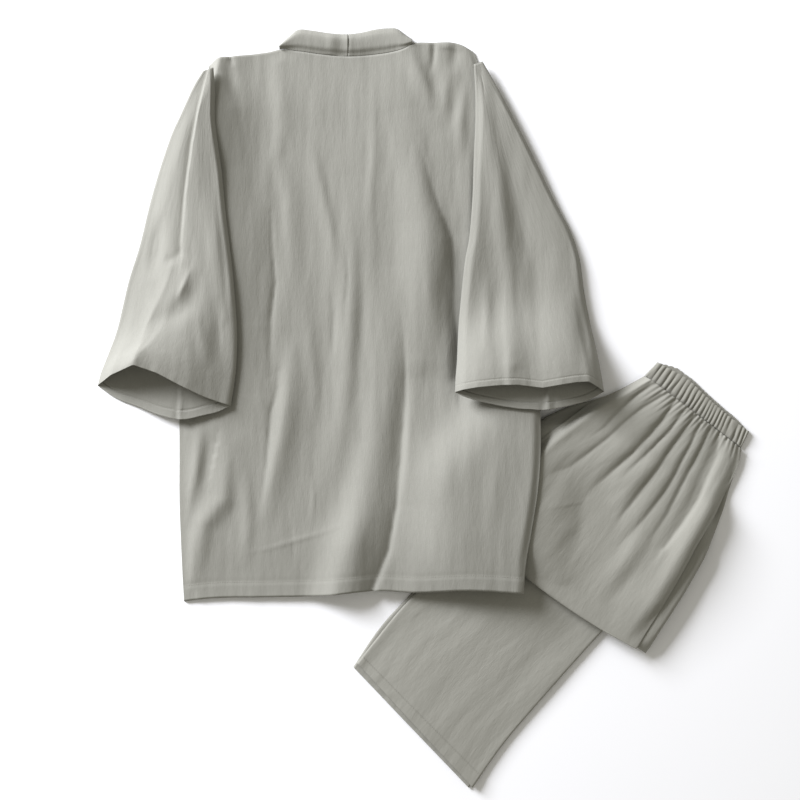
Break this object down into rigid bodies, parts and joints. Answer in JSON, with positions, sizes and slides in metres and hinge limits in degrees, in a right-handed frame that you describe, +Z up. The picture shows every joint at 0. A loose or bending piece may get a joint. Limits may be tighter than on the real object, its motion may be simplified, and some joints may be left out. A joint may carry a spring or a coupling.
{
  "type": "kimono pyjama set",
  "caption": "Kimono pyjama set laid flat: a wrap jacket lies back up with wide open cuffs, partly over trousers folded in a Z with a gathered waistband.",
  "frame": {"origin": "centre of the bounding box at its bottom, on the surface that the set lies on", "axes": "+Z up, away from the surface; +Y from the trouser hem towards the jacket's neckband; +X to the right of the set as it lies"},
  "size_m": [0.8734, 1.0181, 0.0588],
  "materials": {
    "jacket_cloth": "matt double gauze cotton",
    "trouser_cloth": "matt double gauze cotton",
    "band_cloth": "matt double gauze cotton",
    "collar_cloth": "matt double gauze cotton"
  },
  "bodies": {
    "root": {"jacket_back": "jacket_cloth", "jacket_front_left": "jacket_cloth", "jacket_front_right": "jacket_cloth", "sleeve_left": "jacket_cloth", "sleeve_right": "jacket_cloth", "collar_left": "collar_cloth", "collar_right": "collar_cloth", "front_band_left": "collar_cloth", "front_band_right": "collar_cloth", "waistband": "band_cloth", "trouser_leg_near": "trouser_cloth", "trouser_leg_far": "trouser_cloth", "trouser_folded_core": "trouser_cloth", "trouser_hem_near": "trouser_cloth", "trouser_hem_far": "trouser_cloth"}
  },
  "joints": []
}
